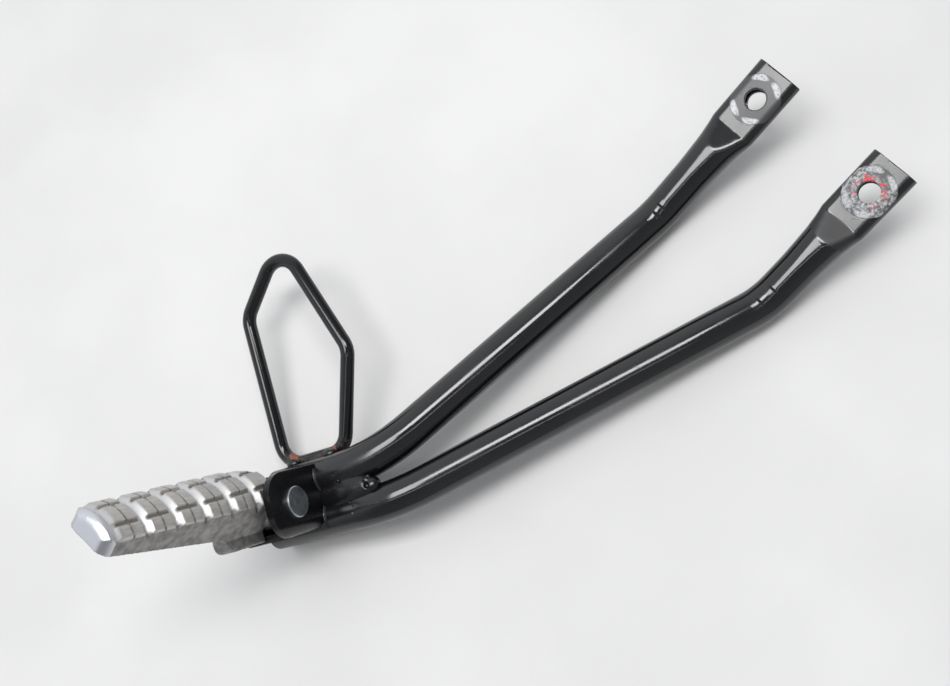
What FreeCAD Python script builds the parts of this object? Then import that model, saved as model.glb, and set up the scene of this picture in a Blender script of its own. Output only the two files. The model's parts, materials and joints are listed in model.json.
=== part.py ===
"""Passenger footpeg of a motorbike: a folding cast peg in a clevis on a bracket of two bent tubes.

The pieces are drawn in the hinge's own frame and then laid down as the bracket comes to rest on a floor.
In the hinge frame the origin is the middle of the hinge pin, X runs along the pin towards the bolted ends,
Y is the way the peg folds, and Z points outboard, along the opened peg.
"""
import FreeCAD, Part
import math
import os

V = FreeCAD.Vector
X_AXIS = V(1, 0, 0)
Y_AXIS = V(0, 1, 0)
Z_AXIS = V(0, 0, 1)

# Bracket tubes
TUBE_OD = 16.0
TUBE_WALL = 2.0
TUBE_GAP = 1.0                 # between the two tubes under the clevis
LOWER_OVERHANG = 3.0           # lower tube's end, past the rear ear
TUBE_DROP = 23.0               # tube axes below the hinge pin
TUBE_SHIFT = -1.6              # middle of the two tubes, against the fold
OUTSET = 73.5                  # tube axes at the clevis, outboard of the bolted ends
UPPER_BEND_X = 38.7            # corner of the first bend, along the pin
LOWER_BEND_X = 43.7
FIRST_BEND_RADIUS = 60.0
KINK_RADIUS = 30.0

# Bolted ends, pressed flat
END_RUN_ANGLE = 30.0           # direction of both end runs, from X towards Y
UPPER_HOLE_X = 214.0
UPPER_HOLE_Y = 106.0
HOLE_SPACING = 58.4            # square to the end runs
UPPER_KINK_TO_HOLE = 60.7
LOWER_KINK_TO_HOLE = 57.6
HOLE_TO_END = 13.5
BOLT_HOLE = 8.5
FLAT_THICKNESS = 8.0
FLAT_LENGTH = 28.0
PRESS_RAMP = 11.0              # slope at the end of the flat, up to the tube's full height
PRESS_TRANSITION = 24.0        # sides, from the flat back to the round tube
RAMP_STATIONS = (0.0, 0.45, 0.8, 0.95)    # shares of the ramp where its outline is drawn

# Clevis, folded from plate
CLEVIS_WIDTH = 28.0
CLEVIS_HEIGHT = 26.0
CLEVIS_PLATE = 3.0
CLEVIS_FOLD_RADIUS = 2.0       # inside the fold
EAR_REACH = 15.0               # ear ends, outboard of the pin
EAR_CORNER = 10.0
SADDLE_DEPTH = 6.0             # how far the ears reach down between the tubes

# Hinge pin, washer and split pin
PIN_DIAMETER = 8.0
PIN_CLEARANCE = 0.05           # radial
PIN_HEAD_DIAMETER = 12.6
PIN_HEAD_HEIGHT = 1.5
PIN_HEAD_CHAMFER = 0.4
PIN_TAIL = 4.5                 # past the washer
WASHER_OD = 16.0
WASHER_THICKNESS = 1.6
SPLIT_PIN_DIAMETER = 2.0
SPLIT_PIN_CLEARANCE = 0.05
SPLIT_PIN_EYE = 2.2            # radius of the eye
SPLIT_PIN_SPREAD = 35.0        # degrees, each leg

# Cast peg
PEG_TURN = -50.0               # tread about the peg's axis, against the pin
PEG_RAISE = 8.0                # middle of the tread, towards the fold
PEG_TIP = 89.0                 # end of the peg, outboard of the pin
TIP_HALF_WIDTH = 9.3
ROOT_HALF_WIDTH = 11.2
TIP_BASE = -1.6                # flat base below the middle of the tread
ROOT_BASE = -13.4
CROWN_RADIUS = 17.0
CROWN_TOP = 8.0
NOSE_ROUND = 4.2
SIDE_PLAY = 0.3                # peg to ear, each side
EAR_RELIEF = 0.7               # room round the ear ends
STOP_GAP = 0.3                 # heel of the peg to the clevis web
STOP_RIB_LEFT = -8.0
STOP_RIB_RIGHT = -1.0
STOP_RIB_REACH = 27.0
STOP_RIB_BELOW = 12.0
STOP_RIB_ROUND = 4.0
POCKET_HALF_WIDTH = 6.0
POCKET_START = 40.0
POCKET_END = 79.0
POCKET_ROOF = 0.5
POCKET_CORNER = 3.0

# Tread of the peg
BAND_PITCH = 13.8
NOSE_GROOVE = 85.2             # groove between the nose and the first band
GROOVE_COUNT = 5
GROOVE_WIDTH = 5.0
GROOVE_DEPTH = 2.6
NOSE_GROOVE_DEPTH = 1.4
FINE_GROOVE_WIDTH = 0.9
FINE_GROOVE_DEPTH = 0.8
TICK_ANGLE = 16.0              # lengthwise grooves, either side of the crown
TICK_WIDTH = 1.5
TICK_DEPTH = 1.1

# Fold of the peg
FOLD_LIMIT = 75.0
FOLD_CLEARANCE = 1.0           # folded peg to the tubes

# Detent of the fold
DETENT_Y = 5.0
DETENT_Z = 10.0
DETENT_BALL = 4.0
DETENT_BORE = 4.2
DETENT_DEPTH = 11.0
DETENT_PROUD = 0.2             # ball past the face of the peg
SPRING_OD = 3.6
SPRING_WIRE = 0.6
SPRING_TURNS = 5
SPRING_PLAY = 0.05

# Guard loop
LOOP_WIRE = 6.0
LOOP_DROP = 7.0                # loop plane below the tube axes
LOOP_BEND = 10.0
LOOP_FOOT_LEFT = -10.0
LOOP_FOOT_RIGHT = 22.2
LOOP_SHOULDER = (-10.7, 83.3)
LOOP_PEAK = (15.9, 110.8)
LOOP_ELBOW = (36.3, 56.1)

# Welds
CLEVIS_WELD_LEG = 2.2
CLEVIS_WELD_FROM = 60.0        # degrees round the tube
CLEVIS_WELD_TO = 135.0
TUBE_WELD_END = 38.0
TUBE_WELD_BELOW = 3.2          # top of the bead below the tube tops
TUBE_WELD_LUMP = 3.4
LOOP_WELD_BEAD = 2.4
LOOP_WELD_LENGTH = 6.0
LOOP_WELD_OUT = 3.2
LOOP_WELD_LEFT_X = -2.5
LOOP_WELD_RIGHT_X = 17.0

# The way the bracket lies on the floor
LIE_ABOUT_X = 14.7
LIE_ABOUT_Y = -14.4
LIE_ABOUT_Z = 13.8

# Sizes that follow
TUBE_RADIUS = TUBE_OD / 2
TUBE_SPACING = TUBE_OD + TUBE_GAP
TUBE_Z = -TUBE_DROP
FLAT_Z = TUBE_Z - OUTSET
REAR_EAR = -CLEVIS_WIDTH / 2
FRONT_EAR = CLEVIS_WIDTH / 2
GAP = CLEVIS_WIDTH - 2 * CLEVIS_PLATE
PEG_HALF_ROOT = GAP / 2 - SIDE_PLAY
WEB_END = EAR_REACH - EAR_CORNER
EYE_RADIUS = CLEVIS_HEIGHT / 2 - CLEVIS_PLATE - CLEVIS_FOLD_RADIUS
PEG_ROOT = WEB_END + STOP_GAP
BORE_RADIUS = PIN_DIAMETER / 2 + PIN_CLEARANCE
WASHER_X = REAR_EAR - WASHER_THICKNESS
SPLIT_PIN_X = WASHER_X - PIN_TAIL / 2
END_RUN = V(math.cos(math.radians(END_RUN_ANGLE)), math.sin(math.radians(END_RUN_ANGLE)), 0)
ACROSS_RUN = V(END_RUN.y, -END_RUN.x, 0)
UPPER_HOLE = V(UPPER_HOLE_X, UPPER_HOLE_Y, FLAT_Z)
LOWER_HOLE = UPPER_HOLE + ACROSS_RUN * HOLE_SPACING
LOOP_OUT = math.sqrt((TUBE_RADIUS + LOOP_WIRE / 2) ** 2 - LOOP_DROP ** 2)
UPPER_Y = TUBE_SHIFT + TUBE_SPACING / 2
LOWER_Y = TUBE_SHIFT - TUBE_SPACING / 2
LOOP_Y = UPPER_Y + LOOP_OUT
LOOP_Z = TUBE_Z - LOOP_DROP
CUT_PAST = 1.0                 # how far a cutting tool runs past the face it opens
WIDE = 2 * (PEG_TIP + CLEVIS_WIDTH)    # cutting tools larger than the peg and the clevis


def rounded_path(points, radius, closed=False):
    """Straight runs through the points, joined by tangent arcs of one radius or a radius for each corner."""
    count = len(points)
    corners = range(count) if closed else range(1, count - 1)
    radii = radius if isinstance(radius, list) else [radius] * len(corners)
    arcs = []
    for index, bend in zip(corners, radii):
        corner = points[index]
        come = (corner - points[index - 1]).normalize()
        leave = (points[(index + 1) % count] - corner).normalize()
        half_turn = come.getAngle(leave) / 2
        tangent = bend * math.tan(half_turn)
        inward = (leave - come).normalize()
        middle = corner + inward * (bend / math.cos(half_turn) - bend)
        arcs.append((corner - come * tangent, middle, corner + leave * tangent))
    edges = []
    at = arcs[-1][2] if closed else points[0]
    for start, middle, end in arcs:
        edges.append(Part.makeLine(at, start))
        edges.append(Part.Arc(start, middle, end).toShape())
        at = end
    if not closed:
        edges.append(Part.makeLine(at, points[-1]))
    return Part.Wire(edges)


def round_bar(path, radius, start, direction):
    """Solid round bar swept along a path that starts at a point in a direction."""
    section = Part.Wire(Part.makeCircle(radius, start, direction))
    return path.makePipeShell([section], True, False)


def press_outline(centre, half_top, edge, half_width, top=None):
    """Outline square to the end run: sides that are arcs, and a top and bottom that are flat, or arched up to `top`."""
    right = ACROSS_RUN * half_top
    side = ACROSS_RUN * half_width
    up = Z_AXIS * edge
    corners = [centre - right + up, centre + right + up, centre + right - up, centre - right - up]
    if top is None:
        over = Part.makeLine(corners[0], corners[1])
        under = Part.makeLine(corners[2], corners[3])
    else:
        over = Part.Arc(corners[0], centre + Z_AXIS * top, corners[1]).toShape()
        under = Part.Arc(corners[2], centre - Z_AXIS * top, corners[3]).toShape()
    right_side = Part.Arc(corners[1], centre + side, corners[2]).toShape()
    left_side = Part.Arc(corners[3], centre - side, corners[0]).toShape()
    return Part.Wire([over, right_side, under, left_side])


def press_outlines(flat_start, half_flat, radius, flat_radius):
    """Outlines from the flat, up the ramp that the press leaves on both faces, back to the round tube."""
    outlines = []
    for climb in RAMP_STATIONS:
        back = climb * PRESS_RAMP
        edge = flat_radius + (radius - flat_radius) * climb
        half_top = half_flat * math.sqrt(1 - climb ** 2)
        spread = (1 - back / PRESS_TRANSITION) ** 2
        half_width = radius + (half_flat + flat_radius - radius) * spread
        outlines.append(press_outline(flat_start - END_RUN * back, half_top, edge, half_width))
    round_edge = math.sqrt(radius ** 2 - half_top ** 2)
    outlines.append(press_outline(flat_start - END_RUN * PRESS_TRANSITION, half_top, round_edge, radius, radius))
    return outlines


def tube_body(start, bend, kink, end, radius, flat_radius, past):
    """Round bar through two bends that is pressed flat at its end; `past` lengthens both ends."""
    half_flat = math.pi * (TUBE_OD - FLAT_THICKNESS) / 4
    round_end = end - END_RUN * (FLAT_LENGTH + PRESS_TRANSITION)
    flat_start = end - END_RUN * FLAT_LENGTH
    first = start - X_AXIS * past
    path = rounded_path([first, bend, kink, round_end], [FIRST_BEND_RADIUS, KINK_RADIUS])
    bar = round_bar(path, radius, first, X_AXIS)
    taper = Part.makeLoft(press_outlines(flat_start, half_flat, radius, flat_radius), True, True)
    flat = Part.Face(press_outline(flat_start, half_flat, flat_radius, half_flat + flat_radius))
    flat = flat.extrude(END_RUN * (FLAT_LENGTH + past))
    return bar.fuse([taper, flat])


def tube(start_x, axis_y, bend_x, hole, kink_to_hole):
    """One bracket tube, open at both ends, with the bolt hole through its flat."""
    start = V(start_x, axis_y, TUBE_Z)
    bend = V(bend_x, axis_y, TUBE_Z)
    kink = hole - END_RUN * kink_to_hole
    end = hole + END_RUN * HOLE_TO_END
    outer = tube_body(start, bend, kink, end, TUBE_RADIUS, FLAT_THICKNESS / 2, 0)
    inner = tube_body(start, bend, kink, end, TUBE_RADIUS - TUBE_WALL, FLAT_THICKNESS / 2 - TUBE_WALL, CUT_PAST)
    reach = FLAT_THICKNESS + 2 * CUT_PAST
    bolt_hole = Part.makeCylinder(BOLT_HOLE / 2, reach, hole - Z_AXIS * (reach / 2))
    return outer.removeSplitter(), outer.cut([inner, bolt_hole]).removeSplitter()


def edges_along(shape, axis, keep):
    """Straight edges of a shape that run along an axis and pass a test on their middle point."""
    found = []
    for edge in shape.Edges:
        run = edge.lastVertex().Point - edge.firstVertex().Point
        if run.cross(axis).Length < 1e-6 and keep(edge.CenterOfMass):
            found.append(edge)
    return found


def clevis(outer_tubes):
    """Folded U of plate: two ears with rounded ends, joined by the web that stops the peg."""
    inboard = TUBE_Z + TUBE_RADIUS - SADDLE_DEPTH
    length = EAR_REACH - inboard
    low = -CLEVIS_HEIGHT / 2
    block = Part.makeBox(CLEVIS_WIDTH, CLEVIS_HEIGHT, length, V(REAR_EAR, low, inboard))
    folds = edges_along(block, Z_AXIS, lambda middle: middle.y < 0)
    block = block.makeFillet(CLEVIS_FOLD_RADIUS + CLEVIS_PLATE, folds)
    space = Part.makeBox(GAP, CLEVIS_HEIGHT, length + 2 * CUT_PAST, V(-GAP / 2, low + CLEVIS_PLATE, inboard - CUT_PAST))
    space = space.makeFillet(CLEVIS_FOLD_RADIUS, edges_along(space, Z_AXIS, lambda middle: middle.y < 0))
    outline = Part.makeBox(CLEVIS_WIDTH, CLEVIS_HEIGHT, length, V(REAR_EAR, low, inboard))
    ends = edges_along(outline, X_AXIS, lambda middle: middle.z > 0)
    outline = outline.makeFillet(EAR_CORNER, ends)
    bore = Part.makeCylinder(BORE_RADIUS, CLEVIS_WIDTH + 2 * CUT_PAST, V(REAR_EAR - CUT_PAST, 0, 0), X_AXIS)
    past_web = Part.makeBox(GAP, CLEVIS_HEIGHT, EAR_REACH, V(-GAP / 2, low - CUT_PAST, WEB_END))
    return block.common(outline).cut([space, past_web, bore] + outer_tubes)


def guard_loop():
    """Closed loop of round wire whose lowest run lies along the upper tube."""
    corners = [(LOOP_FOOT_LEFT, LOOP_Y), LOOP_SHOULDER, LOOP_PEAK, LOOP_ELBOW, (LOOP_FOOT_RIGHT, LOOP_Y)]
    points = [V(x, y, LOOP_Z) for x, y in corners]
    path = rounded_path(points, LOOP_BEND, closed=True)
    first = path.OrderedEdges[0]
    start = first.valueAt(first.FirstParameter)
    return round_bar(path, LOOP_WIRE / 2, start, first.tangentAt(first.FirstParameter))


def peg_section(z, half_width, base):
    """Outline of the peg at one place along it: flat base, straight sides and a round crown."""
    crown_centre = CROWN_TOP - CROWN_RADIUS
    shoulder = crown_centre + math.sqrt(CROWN_RADIUS ** 2 - half_width ** 2)
    return Part.Wire([
        Part.makeLine(V(-half_width, base, z), V(half_width, base, z)),
        Part.makeLine(V(half_width, base, z), V(half_width, shoulder, z)),
        Part.Arc(V(half_width, shoulder, z), V(0, CROWN_TOP, z), V(-half_width, shoulder, z)).toShape(),
        Part.makeLine(V(-half_width, shoulder, z), V(-half_width, base, z)),
    ])


def ring_groove(z, width, depth):
    """Cutting tool for a V groove round the crown."""
    axis_y = CROWN_TOP - CROWN_RADIUS
    outer = CROWN_TOP + CUT_PAST
    half = width / 2 * (depth + CUT_PAST) / depth
    corners = [V(0, outer, z - half), V(0, outer, z + half), V(0, CROWN_TOP - depth, z), V(0, outer, z - half)]
    return Part.Face(Part.makePolygon(corners)).revolve(V(0, axis_y, 0), Z_AXIS, 360)


def tick_groove(angle):
    """Cutting tool for a lengthwise groove at an angle round the crown."""
    axis_y = CROWN_TOP - CROWN_RADIUS
    start = V(-TICK_WIDTH / 2, CROWN_TOP - TICK_DEPTH, PEG_ROOT - CUT_PAST)
    bar = Part.makeBox(TICK_WIDTH, TICK_DEPTH + CUT_PAST, NOSE_GROOVE - start.z, start)
    bar.rotate(V(0, axis_y, 0), Z_AXIS, angle)
    return bar


def tread_tools():
    """All the cutting tools of the tread."""
    tools = [ring_groove(NOSE_GROOVE, GROOVE_WIDTH, NOSE_GROOVE_DEPTH)]
    for index in range(1, GROOVE_COUNT + 1):
        middle = NOSE_GROOVE - index * BAND_PITCH
        tools.append(ring_groove(middle, GROOVE_WIDTH, GROOVE_DEPTH))
        tools.append(ring_groove(middle + BAND_PITCH / 2, FINE_GROOVE_WIDTH, FINE_GROOVE_DEPTH))
    return tools + [tick_groove(TICK_ANGLE), tick_groove(-TICK_ANGLE)]


def peg_casting():
    """Tapered body of the peg with its nose and tread, still upright about its own axis."""
    body = Part.makeLoft([peg_section(PEG_ROOT, ROOT_HALF_WIDTH, ROOT_BASE),
                          peg_section(PEG_TIP, TIP_HALF_WIDTH, TIP_BASE)], True, True)
    nose = [edge for edge in body.Edges
            if abs(edge.CenterOfMass.z - PEG_TIP) < 1e-6 and edge.CenterOfMass.y > TIP_BASE + 1e-3]
    body = body.makeFillet(NOSE_ROUND, nose)
    pocket_depth = POCKET_ROOF - ROOT_BASE + CUT_PAST
    pocket = Part.makeBox(2 * POCKET_HALF_WIDTH, pocket_depth, POCKET_END - POCKET_START,
                          V(-POCKET_HALF_WIDTH, ROOT_BASE - CUT_PAST, POCKET_START))
    pocket = pocket.makeFillet(POCKET_CORNER, edges_along(pocket, Y_AXIS, lambda middle: True))
    return body.cut(tread_tools() + [pocket])


def footpeg():
    """Peg with its tread turned against the pin, its eye between the ears and its stop rib."""
    body = peg_casting()
    body.rotate(V(0, 0, 0), Z_AXIS, PEG_TURN)
    body.translate(V(0, PEG_RAISE, 0))
    ear_radius = math.hypot(CLEVIS_HEIGHT / 2 - EAR_CORNER, WEB_END) + EAR_CORNER + EAR_RELIEF
    relief = Part.makeCylinder(ear_radius, WIDE, V(-WIDE / 2, 0, 0), X_AXIS)
    between = Part.makeBox(2 * PEG_HALF_ROOT, WIDE, WIDE, V(-PEG_HALF_ROOT, -WIDE / 2, -WIDE / 2))
    by_ears = Part.makeBox(WIDE, WIDE, WIDE, V(-WIDE / 2, CLEVIS_HEIGHT / 2 + EAR_RELIEF - WIDE, -WIDE))
    by_tubes = Part.makeBox(WIDE, WIDE, WIDE, V(-WIDE / 2, -WIDE / 2, TUBE_Z + TUBE_RADIUS + FOLD_CLEARANCE - WIDE))
    for folded in (by_ears, by_tubes):
        folded.rotate(V(0, 0, 0), X_AXIS, FOLD_LIMIT)
    body = body.cut([relief.fuse(by_ears).cut(between), by_tubes])
    eye = Part.makeCylinder(EYE_RADIUS, 2 * PEG_HALF_ROOT, V(-PEG_HALF_ROOT, 0, 0), X_AXIS)
    rib = Part.makeBox(STOP_RIB_RIGHT - STOP_RIB_LEFT, STOP_RIB_BELOW, STOP_RIB_REACH - PEG_ROOT,
                       V(STOP_RIB_LEFT, -STOP_RIB_BELOW, PEG_ROOT))
    toe = edges_along(rib, X_AXIS, lambda middle: middle.z > PEG_ROOT + 1 and middle.y < -STOP_RIB_BELOW / 2)
    rib = rib.makeFillet(STOP_RIB_ROUND, toe)
    bore = Part.makeCylinder(BORE_RADIUS, WIDE, V(-WIDE / 2, 0, 0), X_AXIS)
    detent = Part.makeCylinder(DETENT_BORE / 2, DETENT_DEPTH, V(-PEG_HALF_ROOT, DETENT_Y, DETENT_Z), X_AXIS)
    return body.fuse([eye, rib]).cut([bore, detent]).removeSplitter()


def hinge_pin():
    """Headed pin with a cross hole for the split pin."""
    tail = SPLIT_PIN_X - PIN_TAIL / 2
    shank = Part.makeCylinder(PIN_DIAMETER / 2, FRONT_EAR - tail, V(tail, 0, 0), X_AXIS)
    head = Part.makeCylinder(PIN_HEAD_DIAMETER / 2, PIN_HEAD_HEIGHT, V(FRONT_EAR, 0, 0), X_AXIS)
    rim = [edge for edge in head.Edges if edge.CenterOfMass.x > FRONT_EAR + PIN_HEAD_HEIGHT / 2
           and edge.Closed]
    head = head.makeChamfer(PIN_HEAD_CHAMFER, rim)
    hole_radius = SPLIT_PIN_DIAMETER / 2 + SPLIT_PIN_CLEARANCE
    hole = Part.makeCylinder(hole_radius, 2 * PIN_DIAMETER, V(SPLIT_PIN_X, 0, -PIN_DIAMETER))
    return shank.fuse(head).cut(hole).removeSplitter()


def pin_washer():
    """Plain washer between the rear ear and the split pin."""
    disc = Part.makeCylinder(WASHER_OD / 2, WASHER_THICKNESS, V(WASHER_X, 0, 0), X_AXIS)
    return disc.cut(Part.makeCylinder(BORE_RADIUS, WASHER_THICKNESS, V(WASHER_X, 0, 0), X_AXIS))


def split_pin():
    """Split pin: an eye above the hinge pin, a round shank through it and two spread legs below."""
    radius = SPLIT_PIN_DIAMETER / 2
    above = PIN_DIAMETER / 2 + radius
    shank = Part.makeCylinder(radius, 2 * above, V(SPLIT_PIN_X, 0, -above))
    eye = Part.makeTorus(SPLIT_PIN_EYE, radius, V(SPLIT_PIN_X, 0, above + SPLIT_PIN_EYE), X_AXIS)
    legs = []
    for side in (-1, 1):
        leg = Part.makeCylinder(radius / 2, PIN_DIAMETER / 2, V(0, 0, 0), -Z_AXIS)
        leg.rotate(V(0, 0, 0), X_AXIS, side * SPLIT_PIN_SPREAD)
        leg.translate(V(SPLIT_PIN_X, side * radius / 2, -above + radius / 2))
        legs.append(leg)
    return shank.fuse([eye] + legs)


def detent_ball():
    """Ball that is pressed against the rear ear."""
    centre_x = -PEG_HALF_ROOT - DETENT_PROUD + DETENT_BALL / 2
    return Part.makeSphere(DETENT_BALL / 2, V(centre_x, DETENT_Y, DETENT_Z))


def detent_spring():
    """Coil spring between the ball and the bottom of its bore."""
    wire = SPRING_WIRE / 2
    coil_radius = SPRING_OD / 2 - wire
    ball_centre = -PEG_HALF_ROOT - DETENT_PROUD + DETENT_BALL / 2
    seat = math.sqrt((DETENT_BALL / 2 + wire + SPRING_PLAY) ** 2 - coil_radius ** 2)
    start = ball_centre + seat
    height = -PEG_HALF_ROOT + DETENT_DEPTH - wire - SPRING_PLAY - start
    helix = Part.makeHelix(height / SPRING_TURNS, height, coil_radius)
    section = Part.Wire(Part.makeCircle(wire, V(coil_radius, 0, 0), Y_AXIS))
    coil = Part.Wire(helix).makePipeShell([section], True, True)
    coil.rotate(V(0, 0, 0), Y_AXIS, 90)
    coil.translate(V(start, DETENT_Y, DETENT_Z))
    return coil


def clevis_weld(axis_y, start_angle, sweep):
    """Fillet of weld metal round one tube at the foot of the front ear."""
    corners = [V(FRONT_EAR, axis_y + TUBE_RADIUS, TUBE_Z),
               V(FRONT_EAR + CLEVIS_WELD_LEG, axis_y + TUBE_RADIUS, TUBE_Z),
               V(FRONT_EAR, axis_y + TUBE_RADIUS + CLEVIS_WELD_LEG, TUBE_Z),
               V(FRONT_EAR, axis_y + TUBE_RADIUS, TUBE_Z)]
    face = Part.Face(Part.makePolygon(corners))
    face.rotate(V(0, axis_y, TUBE_Z), X_AXIS, start_angle)
    return face.revolve(V(0, axis_y, TUBE_Z), X_AXIS, sweep)


def tube_weld(outer_tubes):
    """Bead in the valley between the two tubes, with a lump where it ends in the crotch."""
    top = TUBE_Z + TUBE_RADIUS - TUBE_WELD_BELOW
    bead = Part.makeBox(TUBE_WELD_END - FRONT_EAR, TUBE_SPACING - TUBE_RADIUS, top - TUBE_Z,
                        V(FRONT_EAR, TUBE_SHIFT - (TUBE_SPACING - TUBE_RADIUS) / 2, TUBE_Z))
    lump = Part.makeSphere(TUBE_WELD_LUMP, V(TUBE_WELD_END, TUBE_SHIFT, top - TUBE_WELD_LUMP / 2))
    return bead.fuse(lump).cut(outer_tubes)


def loop_weld(x, outer_tube, wire):
    """Short bead in the valley between the guard loop and the upper tube."""
    to_wire = V(0, LOOP_OUT, -LOOP_DROP).normalize()
    outward = X_AXIS.cross(to_wire)
    contact = V(x, UPPER_Y, TUBE_Z) + to_wire * TUBE_RADIUS
    start = contact + outward * LOOP_WELD_OUT - X_AXIS * (LOOP_WELD_LENGTH / 2)
    bead = Part.makeCylinder(LOOP_WELD_BEAD, LOOP_WELD_LENGTH, start, X_AXIS)
    return bead.cut([outer_tube, wire])


def lying():
    """Placement that lays the bracket down, with the middle of the upper bolt hole at the origin."""
    turn = FreeCAD.Rotation(X_AXIS, LIE_ABOUT_X)
    for axis, angle in ((Y_AXIS, LIE_ABOUT_Y), (Z_AXIS, LIE_ABOUT_Z)):
        turn = turn * FreeCAD.Rotation(axis, angle)
    return FreeCAD.Placement(-turn.multVec(UPPER_HOLE), turn)


def build():
    """Every node of the part, by name, in the hinge frame."""
    upper_outer, upper = tube(REAR_EAR + CLEVIS_PLATE, UPPER_Y, UPPER_BEND_X, UPPER_HOLE, UPPER_KINK_TO_HOLE)
    lower_outer, lower = tube(REAR_EAR - LOWER_OVERHANG, LOWER_Y, LOWER_BEND_X, LOWER_HOLE, LOWER_KINK_TO_HOLE)
    outers = [upper_outer, lower_outer]
    wire = guard_loop()
    sweep = CLEVIS_WELD_TO - CLEVIS_WELD_FROM
    return {
        "upper_tube": upper,
        "lower_tube": lower,
        "clevis": clevis(outers),
        "guard_loop": wire,
        "footpeg": footpeg(),
        "hinge_pin": hinge_pin(),
        "pin_washer": pin_washer(),
        "split_pin": split_pin(),
        "detent_ball": detent_ball(),
        "detent_spring": detent_spring(),
        "clevis_upper_weld": clevis_weld(UPPER_Y, CLEVIS_WELD_FROM, sweep),
        "clevis_lower_weld": clevis_weld(LOWER_Y, 180 - CLEVIS_WELD_TO, sweep),
        "tube_weld": tube_weld(outers),
        "loop_left_weld": loop_weld(LOOP_WELD_LEFT_X, upper_outer, wire),
        "loop_right_weld": loop_weld(LOOP_WELD_RIGHT_X, upper_outer, wire),
    }


def main():
    """Build, lay down and write each node."""
    os.makedirs("parts", exist_ok=True)
    place = lying()
    for name, shape in build().items():
        shape.Placement = place.multiply(shape.Placement)
        print(name, shape.ShapeType, len(shape.Solids), shape.isValid(), round(shape.Volume, 1))
        shape.exportStep(f"parts/{name}.step")


main()
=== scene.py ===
"""Looks of a folding passenger footpeg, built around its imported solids.

The bracket wears black paint, the peg is cast aluminium, and the pin and what holds it are zinc plated.
"""

import json
import logging
import math
from contextlib import contextmanager
from dataclasses import dataclass
from enum import Enum
from typing import Any, ClassVar, Iterator, Optional, Sequence, Union

import bpy
from mathutils import Matrix, Vector

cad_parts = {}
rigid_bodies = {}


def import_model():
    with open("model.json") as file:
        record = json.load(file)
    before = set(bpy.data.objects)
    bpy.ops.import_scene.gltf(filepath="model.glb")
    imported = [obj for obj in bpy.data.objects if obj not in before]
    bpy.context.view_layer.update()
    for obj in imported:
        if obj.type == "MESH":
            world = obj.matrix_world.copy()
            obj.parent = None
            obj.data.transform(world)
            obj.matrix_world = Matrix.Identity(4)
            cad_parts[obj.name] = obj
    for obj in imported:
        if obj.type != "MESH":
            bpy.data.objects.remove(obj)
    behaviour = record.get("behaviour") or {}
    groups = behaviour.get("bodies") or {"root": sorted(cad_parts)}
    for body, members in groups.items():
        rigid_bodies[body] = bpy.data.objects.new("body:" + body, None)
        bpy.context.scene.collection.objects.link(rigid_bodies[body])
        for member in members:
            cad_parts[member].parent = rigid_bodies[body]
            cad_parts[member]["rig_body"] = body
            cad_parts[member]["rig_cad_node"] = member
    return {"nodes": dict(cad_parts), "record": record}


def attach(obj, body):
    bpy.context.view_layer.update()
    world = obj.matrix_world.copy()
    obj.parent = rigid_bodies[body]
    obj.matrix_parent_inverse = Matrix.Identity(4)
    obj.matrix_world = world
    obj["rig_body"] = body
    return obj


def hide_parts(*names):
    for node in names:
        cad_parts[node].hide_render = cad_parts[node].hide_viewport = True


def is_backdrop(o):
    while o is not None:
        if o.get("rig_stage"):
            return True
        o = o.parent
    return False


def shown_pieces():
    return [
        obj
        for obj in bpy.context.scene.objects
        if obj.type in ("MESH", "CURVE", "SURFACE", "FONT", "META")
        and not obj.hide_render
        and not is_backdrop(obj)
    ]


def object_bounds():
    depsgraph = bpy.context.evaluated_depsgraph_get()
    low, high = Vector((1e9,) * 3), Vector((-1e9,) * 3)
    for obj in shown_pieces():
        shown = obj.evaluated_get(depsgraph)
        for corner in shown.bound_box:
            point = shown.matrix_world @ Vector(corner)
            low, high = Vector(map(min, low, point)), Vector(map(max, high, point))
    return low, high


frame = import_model()
CAD_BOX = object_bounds()
LOG = logging.getLogger("footpeg")
MM = 0.001

Colour = tuple[float, float, float]
Span = tuple[float, float]
Term = Union["Socket", float]


def mount_of(record: dict[str, Any], name: str) -> dict[str, Any]:
    """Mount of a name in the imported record."""
    return next(mount for mount in record["mounts"] if mount["name"] == name)


@dataclass(frozen=True)
class HingeFrame:
    """Frame of the hinge: X along the pin, Y the way the peg folds, Z along the opened peg.

    Args:
        origin: Middle of the hinge pin, in the row frame.
        axes: Matrix whose columns are the three axes.
    """

    origin: Vector
    axes: Matrix

    @classmethod
    def from_record(cls, record: dict[str, Any]) -> "HingeFrame":
        """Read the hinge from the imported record.

        Args:
            record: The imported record.

        Returns:
            The frame of its one hinge.
        """
        joint = record["behaviour"]["joints"][0]
        hole = mount_of(record, "upper_bolt_hole")
        x_axis = -Vector(joint["axis"]).normalized()
        z_axis = Vector(hole["axis"]).normalized()
        y_axis = z_axis.cross(x_axis).normalized()
        axes = Matrix((x_axis, y_axis, z_axis)).transposed()
        return cls(Vector(joint["pos_m"]), axes)

    def point(self, x: float, y: float, z: float) -> Vector:
        """Place in the row frame, in metres, of a point of the hinge frame in millimetres."""
        return self.origin + self.axes @ (Vector((x, y, z)) * MM)

    def direction(self, x: float, y: float, z: float) -> Vector:
        """Direction in the row frame of a direction of the hinge frame."""
        return self.axes @ Vector((x, y, z))


HINGE = HingeFrame.from_record(frame["record"])
# Angle from the hinge pin to the run of the bolted ends.
END_RUN = math.radians(30.0)


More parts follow.
